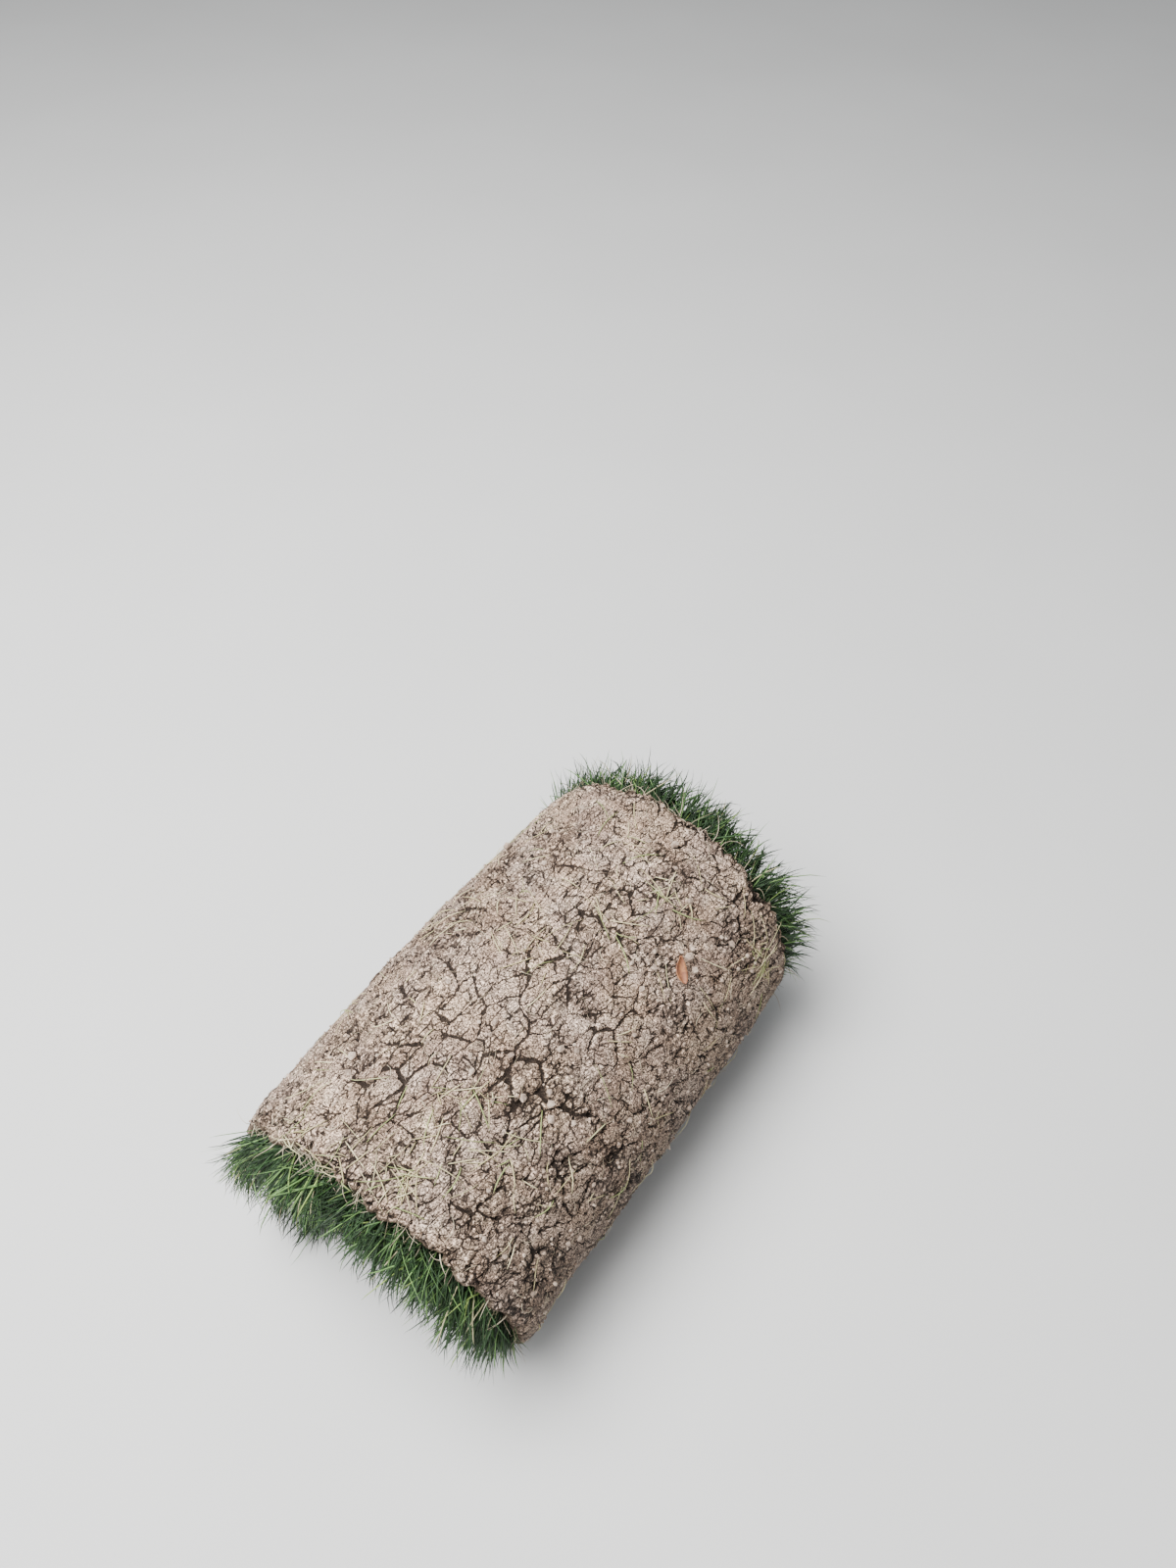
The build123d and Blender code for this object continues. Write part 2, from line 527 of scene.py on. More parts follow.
def cutOnce(strip, direction, level, parts):
    # Subdivides the edges along one axis, all of them or those at one level
    if parts < 2:
        return
    points = readPoints(strip)
    ends = np.empty(len(strip.data.edges) * 2, dtype=np.int64)
    strip.data.edges.foreach_get("vertices", ends)
    a, b = points[ends[::2]], points[ends[1::2]]
    span = np.abs(b - a)
    chosen = span[:, direction] > 0.999 * np.linalg.norm(span, axis=1)
    if level is not None:
        chosen &= np.abs(a[:, 2] - level) < 1e-6
    splitEdges(strip, chosen, parts - 1)


def ragged(x, step, seed):
    # A wandering line: even random knots, joined smoothly
    knots = np.random.default_rng(seed).uniform(-1, 1, 4096)
    index = np.floor(x / step).astype(int)
    part = smoothStep(0, 1, x / step - index)
    return knots[index % 4096] * (1 - part) + knots[(index + 1) % 4096] * part


rims = {
    "roundedPart": 0.45,  # of the thickness, from each face
    "rounding": 0.3,
    "reach": 0.02,  # how far from the edge the rim is worn
    "longWave": 0.021,
    "shortWave": 0.0065,
    "endWave": 0.016,
    "droop": 0.14,
}


def wearRims(points, top, thickness, wear):
    # Rounds the long rims and lets them wander, and the outer end of the strip too
    along, across = points[:, 0].copy(), np.abs(points[:, 1])
    side = np.sign(points[:, 1])
    edge = across.max()
    depth = -points[:, 2] - top
    level = np.clip(np.minimum(depth, thickness - depth) / (thickness * rims["roundedPart"]), 0, 1)
    rounding = thickness * rims["rounding"] * (1 - np.sqrt(1 - (1 - level) ** 2))
    points[:, 1] -= side * np.where(across > edge - 1e-6, rounding, 0)
    near = smoothStep(edge - rims["reach"], edge, across)
    wander = ragged(along + side, rims["longWave"], 5) * 0.45
    wander = wander + ragged(along + side * 9, rims["shortWave"], 7) * 0.55
    points[:, 1] += side * near * wander * wear
    points[:, 2] -= np.where(depth < 1e-6, near ** 2 * thickness * rims["droop"], 0)
    start = smoothStep(rims["reach"], 0.0, along - along.min())
    isOuterEnd = along.min() < 0.01
    points[:, 0] += start * ragged(points[:, 1] + 1, rims["endWave"], 9) * wear * isOuterEnd
    return points


def rollStrip(strip):
    points = readPoints(strip)
    keepVector(strip, "flatPlace", points * (1, 1, -1))
    y, z, _ = rollUp(points[:, 0], -points[:, 2])
    writePoints(strip, settle(np.stack([points[:, 1], y, z], axis=-1)))


def crackStrip(strip, group):
    takeUp(strip)
    modifier = strip.modifiers.new("cracks", "NODES")
    modifier.node_group = group
    bpy.ops.object.modifier_apply(modifier=modifier.name)
    keepAbove(strip, 0.0)
    shadeSmooth(strip)


soilStrips = {
    "outerLength": 0.87,  # the turn that shows, down to where the tail covers it
    "step": 0.0020,
    "innerStep": 0.0045,
    "innerRows": 9,
    "sideRows": 6,
    "wear": 0.0060,
}


def makeSoil():
    group = makeCrackModifier()
    width, soil = winding["width"], winding["soil"]
    step, outerLength, sideRows = (soilStrips[key] for key in ("step", "outerLength", "sideRows"))
    innerColumns = round((stripLength - outerLength) / soilStrips["innerStep"])
    outer = addStrip("soilOuterTurn", 0.0, outerLength, 0.0, soil, width,
                     round(outerLength / step), round(width / step), sideRows)
    inner = addStrip("soilInnerTurns", outerLength, stripLength, 0.0, soil, width,
                     innerColumns, soilStrips["innerRows"], sideRows)
    for strip in (outer, inner):
        writePoints(strip, wearRims(readPoints(strip), 0.0, soil, soilStrips["wear"]))
        rollStrip(strip)
        crackStrip(strip, group)
    material = soilMaterial("dryCrackedSoil")
    addPiece(outer, "soil", material, "soil_mat")
    addPiece(inner, "soil", material, "soil_mat")
    return outer, inner


soilOuter, soilInner = makeSoil()
print("soil made", len(soilOuter.data.polygons), len(soilInner.data.polygons))


# The surface that loose things lie on

soilShape = BVHTree.FromObject(soilOuter, bpy.context.evaluated_depsgraph_get())


def onSoil(along, across, lift):
    # Places above the cracked surface of the outer turn, found by rays from just outside it
    rayStart, rayReach = 0.02, 0.05
    y, z, out = rollUp(along, np.zeros_like(along))
    rough = settle(np.stack([across, y, z], axis=-1))
    outward = np.concatenate([np.zeros((len(out), 1)), out], axis=1)
    found = rough.copy()
    for i, (place, away) in enumerate(zip(rough, outward)):
        hit = soilShape.ray_cast(Vector(place + away * rayStart), Vector(-away), rayReach)[0]
        if hit is not None:
            found[i] = hit
    return found + outward * lift[:, None], outward


# Blades: one modelled blade, copied by an array, then each copy bent along its own path

bladeSteps = 5  # rings of a blade, above its root
aboveFloor = 0.0002


def addBlades(name, count):
    deselectAll()
    bpy.ops.mesh.primitive_cone_add(vertices=3, radius1=0.5, radius2=0, depth=1, location=(0, 0, 0.5))
    blade = justMade(name)
    bpy.ops.object.transform_apply(location=True, rotation=True, scale=True)
    tops = [max(blade.data.vertices[i].co.z for i in edge.vertices) for edge in blade.data.edges]
    splitEdges(blade, [top > 0.9 for top in tops], bladeSteps - 1)
    copyOut(blade, count, (0, 2, 0))
    return blade


def bendBlades(blade, paths, widths, sideways, tint, taper, fold=0.35):
    # paths holds one place for each ring of each blade, from its root to its tip
    count, rings = paths.shape[0], paths.shape[1] - 1
    local = readPoints(blade).reshape(count, -1, 3)
    first = local[0]
    level = np.rint(first[:, 2] * rings).astype(int)
    narrow = np.maximum(1 - first[:, 2], 1e-6)
    a, b = first[:, 0] / narrow, first[:, 1] / narrow
    a, b = np.where(level == rings, 0, a), np.where(level == rings, 0, b)
    ahead = np.gradient(paths, axis=1)
    ahead /= np.linalg.norm(ahead, axis=2, keepdims=True) + 1e-12
    across = np.cross(ahead, np.cross(sideways[:, None, :], ahead))
    across /= np.linalg.norm(across, axis=2, keepdims=True) + 1e-12
    lift = np.cross(ahead, across)
    size = widths[:, None] * taper(level / rings)[None, :]
    points = paths[:, level, :] + across[:, level, :] * (a * size)[..., None]
    points = points + lift[:, level, :] * (b * size * fold)[..., None]
    points[:, :, 2] = np.maximum(points[:, :, 2], aboveFloor)
    writePoints(blade, points.reshape(-1, 3))
    tints, reaches = np.repeat(tint, len(first)), np.tile(level / rings, count)
    for name, values in (("bladeTint", tints), ("bladeReach", reaches)):
        slot = blade.data.attributes.new(name, "FLOAT", "POINT")
        slot.data.foreach_set("value", values.astype(np.float32))
    shadeSmooth(blade)
    takeUp(blade)
    bpy.ops.object.mode_set(mode="EDIT")
    bpy.ops.mesh.select_all(action="SELECT")
    bpy.ops.mesh.normals_make_consistent(inside=False)
    bpy.ops.object.mode_set(mode="OBJECT")


def walk(starts, headings, lengths, sag, sway):
    # Paths that set out along a heading, sag under their weight and sway a little
    paths, place, heading = [starts], starts.copy(), headings.copy()
    for step in range(bladeSteps):
        t = (step + 1) / bladeSteps
        heading = heading + sway / bladeSteps
        heading[:, 2] -= sag * t * 2 / bladeSteps
        heading /= np.linalg.norm(heading, axis=1, keepdims=True)
        place = place + heading * (lengths / bladeSteps)[:, None]
        paths.append(place.copy())
    return np.stack(paths, axis=1)


grass = {
    "outerBlades": 5600,  # for each end
    "innerBlades": 2700,
    "outerTurnEnd": 0.84,  # where along the strip the inner turns begin
    "rootDepth": (0.0155, 0.0215),  # in the sward, below the soil's face
    "rootInset": (0.001, 0.012),
    "tufts": 0.006,  # how far roots gather into tufts
    "outerReach": (0.010, 0.056),  # few blades are the longest
    "longBlades": 0.035,  # share of pale ones that lie across the others
    "longReach": (0.005, 0.025),  # what these have more
    "dryBlades": 0.02,
    "crushed": (0.50, 0.62),  # where along the strip the grass starts to be crushed underneath
    "lowReach": (0.008, 0.022),
    "innerReach": (0.007, 0.020),
    "underSoil": 0.008,  # length that the rims hide
    "width": (0.0009, 0.0021),
    "bendsFrom": 0.220,  # blades bend over from here and pass no further than the next
    "furthest": 0.2485,
    "widest": 0.154,
    "highest": 0.2555,
    "dryTint": 0.99,
}

grassEnds = {
    "near": {"side": -1, "outward": 0.06, "shortness": 1.1, "sagging": 1.0},
    # nothing pushes the far end's grass down
    "far": {"side": 1, "outward": 0.28, "shortness": 0.8, "sagging": 0.35},
}

grassTones = {
    "deep": (0.004, 0.014, 0.003),
    "green": (0.016, 0.054, 0.011),
    "light": (0.170, 0.320, 0.090),
    "lightest": (0.340, 0.470, 0.120),
    "mottle": (0.014, 0.040, 0.012),
    "streak": (0.160, 0.270, 0.110),
    # painted shade at the blades' roots, deep in the mat
    "root": (0.004, 0.012, 0.003),
    "straw": (0.36, 0.32, 0.17),
    "paleStraw": (0.58, 0.53, 0.33),
}


def grassMaterial():
    material, graph, shader = newMaterial("longGrass")
    tones = grassTones
    tint, reach = graph.attribute("bladeTint"), graph.attribute("bladeReach")
    place = graph.objectPlace()
    mottle = graph.noise(place, 90.0, 3.0, 0.6)
    streak = graph.noise(graph.vector("MULTIPLY", place, (0.12, 1.0, 1.0)), 1500.0, 2.0, 0.6)
    colour = graph.blend(graph.smooth(0.0, 0.55, tint), tones["deep"], tones["green"])
    colour = graph.blend(graph.smooth(0.56, 0.86, tint), colour, tones["light"])
    colour = graph.blend(graph.smooth(0.88, 0.93, tint), colour, tones["lightest"])
    colour = graph.blend(graph.smooth(0.35, 0.75, mottle) * 0.45, colour, tones["mottle"])
    colour = graph.blend(graph.smooth(0.45, 0.7, streak) * 0.20, colour, tones["streak"])
    # painted shade: each blade darkens towards its root, deep in the mat
    colour = graph.blend((1 - graph.smooth(0.0, 0.60, reach)) * 0.80, colour, tones["root"])
    dry = graph.blend(streak, tones["straw"], tones["paleStraw"])
    colour = graph.blend(graph.smooth(0.965, 0.975, tint), colour, dry)
    finishShader(shader, colour, 0.42 + mottle * 0.25, streak, 0.35, 0.001)
    shader.inputs["Specular IOR Level"].default_value = 0.4
    return material


def spread(low, high, count):
    return rng.uniform(low, high, count)


def unit(rows):
    return rows / np.linalg.norm(rows, axis=1, keepdims=True)


def endGrass(name, end, outer, inner, material):
    # Blades along the rim of one end: outer of them on the turn that shows, inner on the others
    count, turnEnd = outer + inner, grass["outerTurnEnd"]
    side, isOuter = end["side"], np.arange(outer + inner) < outer
    along = np.concatenate([spread(0.004, turnEnd, outer), spread(turnEnd, stripLength - 0.01, inner)])
    along += grass["tufts"] * np.sin(along * 260)
    depth = spread(*grass["rootDepth"], count)
    rootX = winding["width"] / 2 - spread(*grass["rootInset"], count)
    y, z, out = rollUp(along, depth)
    starts = settle(np.stack([side * rootX, y, z], axis=-1))
    outward = np.concatenate([np.zeros((count, 1)), out], axis=1)
    tangent = np.stack([np.zeros(count), -out[:, 1], out[:, 0]], axis=-1)
    clump = ragged(along, 0.019, 21 + side)[:, None]

    headings = np.zeros((count, 3))
    headings[:, 0] = side
    isLong = (rng.random(count) < grass["longBlades"]) & isOuter
    across = rng.normal(0, 0.46, count) + clump[:, 0] * 0.30 + isLong * rng.normal(0, 0.8, count)
    headings += outward * rng.normal(end["outward"], 0.20, (count, 1)) + tangent * across[:, None]

    underneath = smoothStep(*grass["crushed"], along) * isOuter
    shortest, longest = grass["outerReach"]
    mostlyShort = shortest + (longest - shortest) * rng.random(count) ** end["shortness"]
    reach = np.where(isOuter, mostlyShort, spread(*grass["innerReach"], count))
    reach = reach * (1 - underneath) + spread(*grass["lowReach"], count) * underneath
    lengths = reach * (1 + 0.16 * clump[:, 0]) + grass["underSoil"]
    lengths = lengths + isLong * spread(*grass["longReach"], count)
    sag = np.where(isOuter, spread(0.3, 1.9, count) * end["sagging"], spread(0.1, 0.9, count))
    sway = rng.normal(0, 0.44, (count, 3)) + tangent * clump * 0.3
    paths = walk(starts, unit(headings), lengths, sag, sway)

    room = grass["furthest"] - grass["bendsFrom"] - spread(0, 0.006, count)[:, None]
    past = np.maximum(np.abs(paths[:, :, 0]) - grass["bendsFrom"], 0)
    paths[:, :, 0] -= side * (past - room * np.tanh(past / room))
    paths[:, :, 1] = np.clip(paths[:, :, 1], -grass["widest"], grass["widest"])
    low = spread(0.0012, 0.006, count)[:, None]
    paths[:, :, 2] = np.clip(paths[:, :, 2], low, grass["highest"] - low)

    sideways = tangent + rng.normal(0, 0.55, (count, 3))
    tint = np.clip(rng.beta(1.2, 1.9, count) + 0.12 * clump[:, 0], 0, 0.96)
    tint = np.where(isLong, spread(0.7, 0.95, count), tint)
    tint = np.where(rng.random(count) < grass["dryBlades"], grass["dryTint"], tint)
    blades = addBlades(name, count)
    widths = spread(*grass["width"], count)
    bendBlades(blades, paths, widths, sideways, tint, lambda t: 1.05 - t ** 3.2)
    addPiece(blades, "grass", material, "grass_sward")


tail = {
    # the outer end of the strip, whose grass shows under the roll
    "blades": 700,
    "along": (0.001, 0.012),
    "across": 0.199,
    "rootDepth": (0.0150, 0.0205),
    "reach": (0.010, 0.026),
    "lowest": (0.001, 0.004),
    "dryBlades": 0.06,
}


def tailGrass(material):
    count = tail["blades"]
    along = spread(*tail["along"], count)
    across = spread(-tail["across"], tail["across"], count)
    y, z, out = rollUp(along, spread(*tail["rootDepth"], count))
    starts = settle(np.stack([across, y, z], axis=-1))
    forward = np.stack([np.zeros(count), out[:, 1], -out[:, 0]], axis=-1)
    headings = forward + rng.normal(0, 0.25, (count, 3))
    headings[:, 0] += ragged(across + 2, 0.02, 31) * 0.4
    lengths, sag = spread(*tail["reach"], count), spread(0, 0.6, count)
    paths = walk(starts, unit(headings), lengths, sag, rng.normal(0, 0.3, (count, 3)))
    paths[:, :, 2] = np.maximum(paths[:, :, 2], spread(*tail["lowest"], count)[:, None])
    isDry = rng.random(count) < tail["dryBlades"]
    tint = np.where(isDry, grass["dryTint"], rng.beta(1.6, 2.6, count) * 0.9)
    widths, sideways = spread(*grass["width"], count), rng.normal(0, 1, (count, 3))
    blades = addBlades("tailGrass", count)
    bendBlades(blades, paths, widths, sideways, tint, lambda t: 1.05 - t ** 2.2)
    addPiece(blades, "grass", material, "grass_sward")


def pressedSwardMaterial():
    material, graph, shader = newMaterial("pressedSward")
    place = graph.attribute("flatPlace", "Vector")
    stems = graph.noise(graph.vector("MULTIPLY", place, (1.0, 0.10, 1.0)), 900.0, 2.0, 0.7)
    tufts = graph.noise(place, 120.0, 3.0, 0.6)
    colour = graph.blend(graph.smooth(0.4, 0.65, stems), (0.005, 0.013, 0.004), (0.018, 0.046, 0.012))
    colour = graph.blend(graph.smooth(0.55, 0.7, tufts) * 0.6, colour, (0.060, 0.050, 0.022))
    finishShader(shader, colour, 0.75 + tufts * 0.2, stems, 1.0, 0.002)
    return material


swardStrip = {
    "first": -0.004,  # past the soil's outer end
    "width": 0.412,
    "gap": 0.0003,  # between it and the soil on both sides
    "step": 0.006,
    "sideRows": 4,
    "wear": 0.007,
    "lowest": 0.0004,
}


def makePressedSward():
    look = swardStrip
    top = winding["soil"] + look["gap"]
    thickness = winding["sward"] - 2 * look["gap"]
    columns = round(stripLength / look["step"])
    sward = addStrip("pressedSward", look["first"], stripLength, top, thickness, look["width"],
                     columns, 1, look["sideRows"])
    writePoints(sward, wearRims(readPoints(sward), top, thickness, look["wear"]))
    rollStrip(sward)
    keepAbove(sward, look["lowest"])
    shadeSmooth(sward)
    addPiece(sward, "grass", pressedSwardMaterial(), "grass_sward")


longGrass = grassMaterial()
makePressedSward()
for end in grassEnds:
    endGrass(end + "Grass", grassEnds[end], grass["outerBlades"], 0, longGrass)
    endGrass(end + "InnerGrass", grassEnds[end], 0, grass["innerBlades"], longGrass)
tailGrass(longGrass)
print("grass made")


# Loose things on the soil: dry clippings, pale roots, crumbs and a scrap of leaf

clippings = {
    # clusters as along, across, radius, how many
    "clusters": ((0.326, -0.189, 0.022, 16), (0.366, -0.182, 0.020, 26), (0.357, -0.118, 0.012, 12),
                 (0.373, -0.101, 0.012, 13), (0.415, -0.116, 0.015, 16), (0.344, 0.017, 0.016, 11),
                 (0.366, 0.069, 0.012, 9), (0.389, 0.129, 0.018, 18), (0.494, 0.164, 0.018, 34),
                 (0.374, -0.155, 0.018, 12), (0.272, -0.192, 0.020, 20), (0.332, 0.144, 0.012, 6),
                 (0.300, 0.050, 0.020, 8), (0.250, 0.020, 0.030, 12), (0.470, -0.117, 0.014, 6),
                 (0.200, -0.080, 0.030, 12), (0.180, 0.120, 0.026, 18), (0.600, 0.080, 0.024, 12)),
    "fullness": 0.8,
    "strays": 190,
    "strayAlong": (0.02, 0.72),
    "length": (0.010, 0.040),
    "width": (0.0006, 0.0014),
    "straw": (0.50, 0.43, 0.21),
    "paleStraw": (0.84, 0.75, 0.47),
    "stillGreen": (0.30, 0.36, 0.13),
    "spots": (0.24, 0.19, 0.10),
}


def strawMaterial():
    material, graph, shader = newMaterial("dryClippings")
    tint = graph.attribute("bladeTint")
    mottle = graph.noise(graph.objectPlace(), 300.0, 2.0, 0.6)
    isGreen = graph.smooth(0.60, 0.66, tint) - graph.smooth(0.86, 0.9, tint)
    colour = graph.blend(tint, clippings["straw"], clippings["paleStraw"])
    colour = graph.blend(isGreen, colour, clippings["stillGreen"])
    colour = graph.blend(graph.smooth(0.45, 0.7, mottle) * 0.5, colour, clippings["spots"])
    finishShader(shader, colour, 0.7 + mottle * 0.2, mottle, 0.4, 0.0005)
    return material


def surfacePaths(along, across, turn, lengths, curl, arch):
    # Paths that lie on the soil, curling sideways and arching up in the middle
    firstAlong, lastAlong, edge, clear = 0.002, 0.86, 0.2035, 0.0005
    s, v, heading = along.copy(), across.copy(), turn.copy()
    places, outwards = [], []
    for step in range(bladeSteps + 1):
        t = step / bladeSteps
        lift = clear + arch * 4 * t * (1 - t)
        place, outward = onSoil(np.clip(s, firstAlong, lastAlong), np.clip(v, -edge, edge), lift)
        places.append(place)
        outwards.append(outward)
        s = s + np.cos(heading) * lengths / bladeSteps
        v = v + np.sin(heading) * lengths / bladeSteps
        heading = heading + curl / bladeSteps
    return np.stack(places, axis=1), outwards[bladeSteps // 2]


def makeClippings():
    along, across = [], []
    for s, v, radius, many in clippings["clusters"]:
        many = round(many * clippings["fullness"])
        along.append(rng.normal(s, radius * 0.55, many))
        across.append(rng.normal(v, radius * 0.55, many))
    along.append(spread(*clippings["strayAlong"], clippings["strays"]))
    across.append(spread(-0.195, 0.195, clippings["strays"]))
    along, across = np.concatenate(along), np.clip(np.concatenate(across), -0.198, 0.198)
    count = len(along)
    lengths = spread(*clippings["length"], count)
    arch = rng.exponential(0.0012, count)
    turns, curls = spread(0, 2 * math.pi, count), rng.normal(0, 0.35, count)
    paths, outward = surfacePaths(along, across, turns, lengths, curls, arch)
    paths[:, 1:-1] = (paths[:, :-2] + 2 * paths[:, 1:-1] + paths[:, 2:]) / 4
    sideways = np.cross(outward, paths[:, -1] - paths[:, 0]) + rng.normal(0, 0.002, (count, 3))
    straw = addBlades("dryClippings", count)
    bendBlades(straw, paths, spread(*clippings["width"], count), sideways, rng.random(count),
               lambda t: 0.55 + 0.45 * np.sin(math.pi * np.clip(t + 0.1, 0, 1)), 0.5)
    addPiece(straw, "grass", strawMaterial())


roots = {
    "rimRoots": 400,
    "faceRoots": 560,
    "frayed": 0.38,  # share of the rim's that gather where it frays most
    "frayedAt": 0.31,
    "length": (0.008, 0.028),
    "width": (0.0005, 0.0010),
    "faceWidth": (0.00035, 0.0007),
    "brown": (0.30, 0.24, 0.17),
    "pale": (0.70, 0.61, 0.44),
    "soiled": (0.26, 0.20, 0.14),
}


def rootMaterial():
    material, graph, shader = newMaterial("paleRoots")
    mottle = graph.noise(graph.objectPlace(), 260.0, 2.0, 0.6)
    colour = graph.blend(graph.attribute("bladeTint"), roots["brown"], roots["pale"])
    colour = graph.blend(graph.smooth(0.45, 0.7, mottle) * 0.6, colour, roots["soiled"])
    finishShader(shader, colour, 0.75 + mottle * 0.2, mottle, 0.4, 0.0005)
    return material


def makeRoots():
    # Some lie on the rims and stick out of them, some lace the soil's face
    rim, face = roots["rimRoots"], roots["faceRoots"]
    count = rim + face
    side = np.where(rng.random(count) < 0.5, -1.0, 1.0)
    frayed = rng.random(rim) < roots["frayed"]
    onRim = np.where(frayed, rng.normal(roots["frayedAt"], 0.06, rim), spread(0.01, 0.84, rim))
    along = np.concatenate([onRim, spread(0.01, 0.75, face)])
    depth = np.concatenate([spread(0.002, 0.015, rim), np.zeros(face)])
    across = np.where(np.arange(count) < rim, side * 0.199, spread(-0.197, 0.197, count))
    y, z, _ = rollUp(along, depth)
    starts = settle(np.stack([across, y, z], axis=-1))
    headings = rng.normal(0, 0.5, (count, 3))
    headings[:, 0] += side
    lengths = spread(*roots["length"], count)
    sag, sway = spread(0, 1.6, count), rng.normal(0, 2.4, (count, 3))
    paths = walk(starts, unit(headings), lengths, sag, sway)
    turns, curls = spread(0, 2 * math.pi, face), rng.normal(0, 2.2, face)
    paths[rim:], _ = surfacePaths(along[rim:], across[rim:], turns, lengths[rim:] * 0.9, curls,
                                  rng.exponential(0.0006, face))
    paths[:, :, 2] = np.maximum(paths[:, :, 2], 0.001)
    widths = np.concatenate([spread(*roots["width"], rim), spread(*roots["faceWidth"], face)])
    strands = addBlades("paleRoots", count)
    sideways, tint = rng.normal(0, 1, (count, 3)), rng.random(count)
    bendBlades(strands, paths, widths, sideways, tint, lambda t: 1 - 0.8 * t, 0.9)
    addPiece(strands, "soil", rootMaterial())


leafScrap = {
    "along": 0.433,
    "across": 0.086,
    "length": 0.022,
    "width": 0.0105,
    "tipWidth": 0.0008,
    "wall": 0.0004,
    "turn": 2.5,
    "brown": (0.230, 0.090, 0.048),
    "orange": (0.430, 0.185, 0.075),
}


def leafMaterial():
    material, graph, shader = newMaterial("brownLeaf")
    mottle = graph.noise(graph.objectPlace(), 180.0, 3.0, 0.6)
    colour = graph.blend(graph.smooth(0.35, 0.65, mottle), leafScrap["brown"], leafScrap["orange"])
    finishShader(shader, colour, 0.55 + mottle * 0.3, mottle, 0.5, 0.001)
    return material


def makeLeafScrap():
    deselectAll()
    bpy.ops.mesh.primitive_grid_add(x_subdivisions=12, y_subdivisions=6, size=1)
    leaf = justMade("leafScrap")
    points = readPoints(leaf)
    t = points[:, 0] + 0.5
    w = points[:, 1] * 2
    oval = np.maximum(np.sin(math.pi * t ** 0.8), 0.0) ** 0.8
    half = leafScrap["width"] / 2 * oval * (1 + 0.12 * np.sin(t * 37))
    half = np.maximum(half, leafScrap["tipWidth"] / 2)
    forward = (t - 0.5) * leafScrap["length"]
    turn, along, across = leafScrap["turn"], leafScrap["along"], leafScrap["across"]
    s = along + forward * math.cos(turn) - w * half * math.sin(turn)
    v = across + forward * math.sin(turn) + w * half * math.cos(turn)
    lift = 0.0012 + 0.0022 * np.abs(w) ** 1.5 + 0.003 * (2 * t - 1) ** 2  # its sides and tips curl up
    middle = np.full(len(s), along)
    base, _ = onSoil(middle, np.full(len(s), across), lift)
    y, z, _ = rollUp(s, np.zeros_like(s))
    middleY, middleZ, _ = rollUp(middle, np.zeros_like(s))
    writePoints(leaf, base + np.stack([v - across, y - middleY, z - middleZ], axis=-1))
    wall = leaf.modifiers.new("wall", "SOLIDIFY")
    wall.thickness = leafScrap["wall"]
    takeUp(leaf)
    bpy.ops.object.modifier_apply(modifier=wall.name)
    shadeSmooth(leaf)
    addPiece(leaf, "grass", leafMaterial())


crumbs = {
    "count": 1500,
    "smallest": 0.0007,
    "spread": 0.0006,
    "largest": 0.0055,
    "proud": 0.35,  # how far the middle stands over the soil, as a share of the size
    # larger ones as along, across, size
    "placed": ((0.363, 0.169, 0.0042), (0.407, 0.080, 0.0034), (0.432, 0.100, 0.0052),
               (0.456, 0.142, 0.0036), (0.398, -0.034, 0.0040), (0.419, 0.049, 0.0034),
               (0.373, -0.062, 0.0034), (0.418, -0.070, 0.0038), (0.412, -0.064, 0.0030),
               (0.425, -0.078, 0.0034), (0.430, 0.108, 0.0040), (0.520, -0.120, 0.0034)),
    "brown": (0.29, 0.21, 0.16),
    "dry": (0.54, 0.425, 0.335),
    "speck": (0.13, 0.09, 0.07),
}


def crumbMaterial():
    material, graph, shader = newMaterial("soilCrumbs")
    place = graph.objectPlace()
    mottle = graph.noise(place, 160.0, 3.0, 0.6)
    speckle = graph.noise(place, 900.0, 2.0, 0.7)
    colour = graph.blend(graph.smooth(0.4, 0.62, mottle), crumbs["brown"], crumbs["dry"])
    colour = graph.blend(graph.smooth(0.5, 0.65, speckle) * 0.6, colour, crumbs["speck"])
    finishShader(shader, colour, 0.98 - speckle * 0.1, speckle, 0.8, 0.0008)
    return material


def makeCrumbs():
    placed, loose = np.array(crumbs["placed"]), crumbs["count"]
    along = np.concatenate([spread(0.02, 0.76, loose), placed[:, 0]])
    across = np.concatenate([spread(-0.198, 0.198, loose), placed[:, 1]])
    size = np.concatenate([crumbs["smallest"] + rng.exponential(crumbs["spread"], loose), placed[:, 2]])
    fromLeaf = np.hypot(along - leafScrap["along"], across - leafScrap["across"])
    free = fromLeaf >= leafScrap["length"] * 0.6  # none lies under the leaf
    along, across, size = along[free], across[free], np.minimum(size, crumbs["largest"])[free]
    count = len(along)
    deselectAll()
    bpy.ops.mesh.primitive_ico_sphere_add(subdivisions=1, radius=1)
    lumps = justMade("looseCrumbs")
    copyOut(lumps, count, (1.5, 0, 0))
    local = readPoints(lumps).reshape(count, -1, 3)
    shape = local[:1].repeat(count, axis=0) * rng.uniform(0.65, 1.2, (count, local.shape[1], 1))
    shape = shape * rng.uniform(0.7, 1.15, (count, 1, 3))
    centre, _ = onSoil(along, across, size * crumbs["proud"])
    writePoints(lumps, centre[:, None, :] + shape * size[:, None, None])
    keepAbove(lumps, aboveFloor)
    addPiece(lumps, "soil", crumbMaterial())


makeClippings()
makeRoots()
makeCrumbs()
makeLeafScrap()
print("loose things made")


# Floor, light and camera

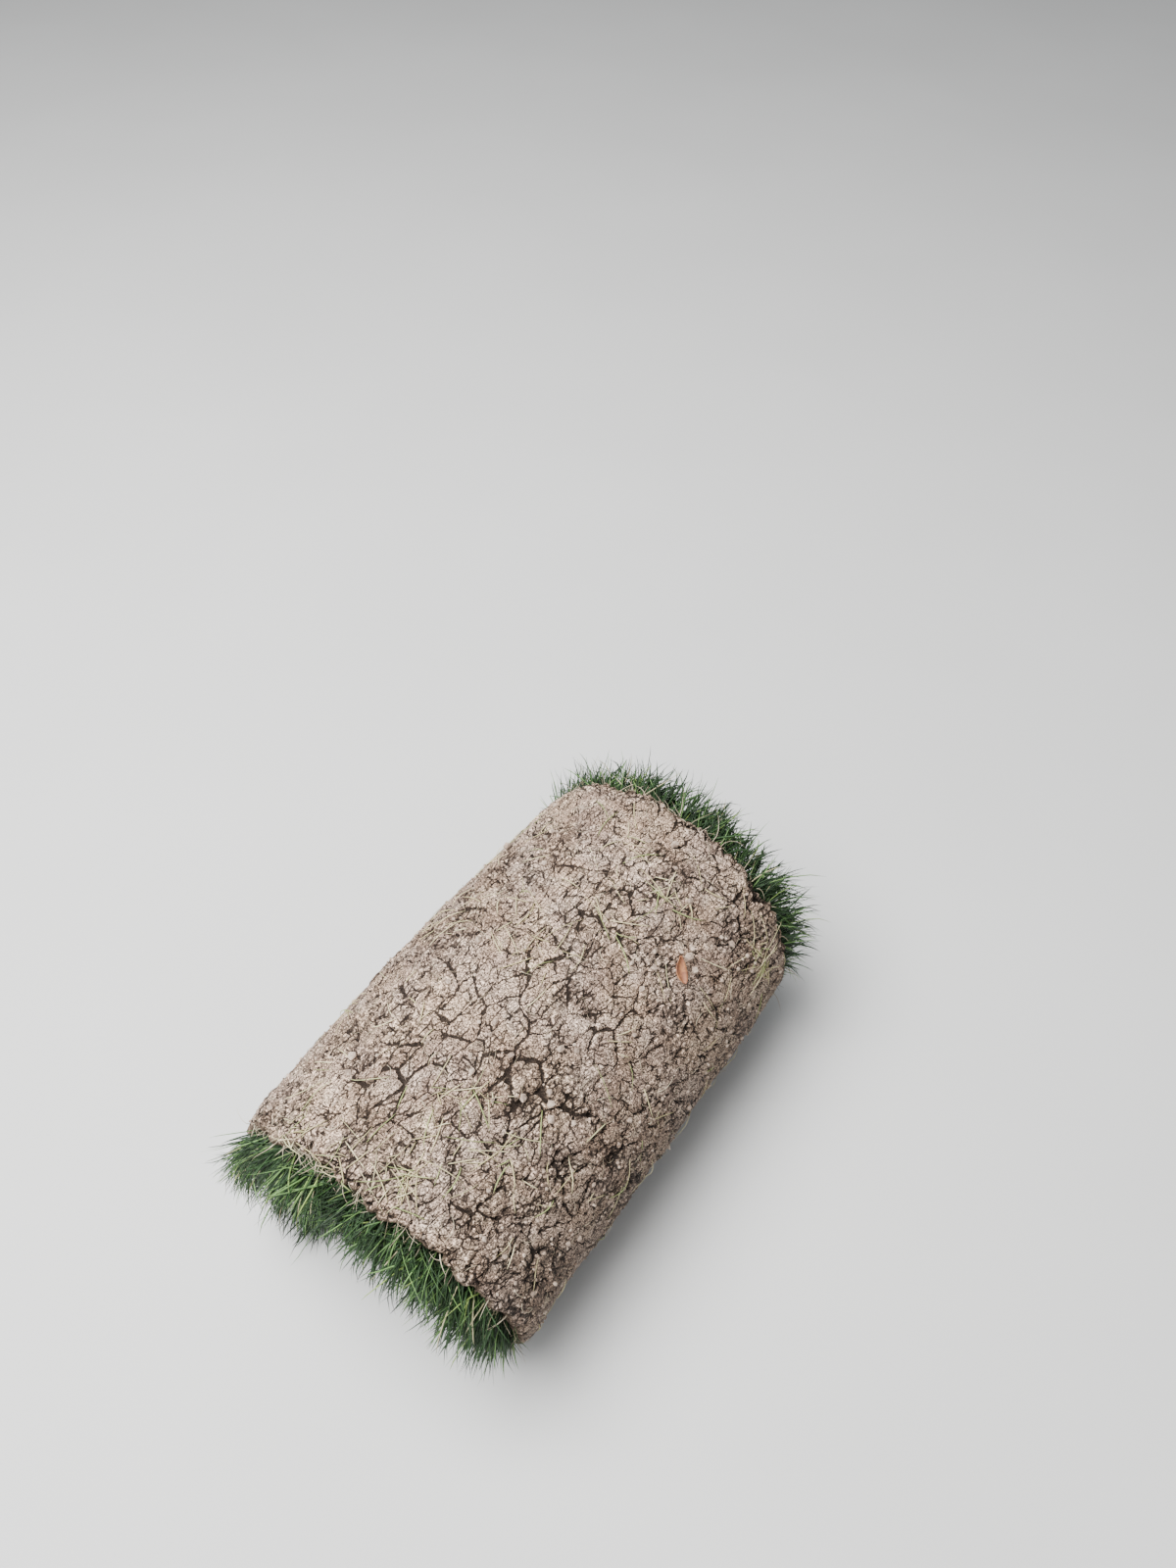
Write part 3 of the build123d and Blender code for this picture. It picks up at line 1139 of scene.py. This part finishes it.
stage = {
    "floorSize": 14.0,
    "cameraPlace": (-0.3538, -0.3000, 1.0223),
    "lookAround": 35.06,  # degrees from +X towards +Y
    "lookDown": 50.46,
    "roll": 1.94,
    "lens": 27.0,
    "lamps": (((-0.6, 0.7, 2.5), 1.6, 205), ((-1.6, 0.1, 1.6), 1.6, 20)),  # place, size, power
    "sky": (0.93, 0.96, 1.0, 1),
    "skyStrength": 0.34,
}


def makeStage():
    deselectAll()
    bpy.ops.mesh.primitive_plane_add(size=stage["floorSize"], location=(0, 0, 0))
    floor = bpy.context.object
    floor.name = "floor"
    material, graph, shader = newMaterial("paleFloor")
    shade = graph.noise(graph.objectPlace(), 3.0, 2.0)
    plug(shader, "Base Color", graph.blend(shade, (0.60, 0.60, 0.59), (0.66, 0.66, 0.65)))
    shader.inputs["Roughness"].default_value = 0.9
    floor.data.materials.append(material)
    for place, size, power in stage["lamps"]:
        bpy.ops.object.light_add(type="AREA", location=place)
        lamp = bpy.context.object
        lamp.data.size, lamp.data.energy = size, power
        lamp.rotation_euler = (-Vector(place)).to_track_quat("-Z", "Y").to_euler()
    world = bpy.data.worlds.new("studio")
    world.use_nodes = True
    background = world.node_tree.nodes["Background"]
    background.inputs["Color"].default_value = stage["sky"]
    background.inputs["Strength"].default_value = stage["skyStrength"]
    bpy.context.scene.world = world


def makeCamera():
    around, down, roll = (math.radians(stage[key]) for key in ("lookAround", "lookDown", "roll"))
    level = math.cos(down)
    ahead = Vector((level * math.cos(around), level * math.sin(around), -math.sin(down)))
    right = Vector((math.sin(around), -math.cos(around), 0))
    up = right.cross(ahead)
    turnedRight = right * math.cos(roll) + up * math.sin(roll)
    turnedUp = up * math.cos(roll) - right * math.sin(roll)
    bpy.ops.object.camera_add()
    camera = bpy.context.object
    camera.data.lens = stage["lens"]
    turned = Matrix((turnedRight, turnedUp, -ahead)).transposed().to_4x4()
    camera.matrix_world = Matrix.Translation(stage["cameraPlace"]) @ turned
    bpy.context.scene.camera = camera


makeStage()
makeCamera()
print("stage made")
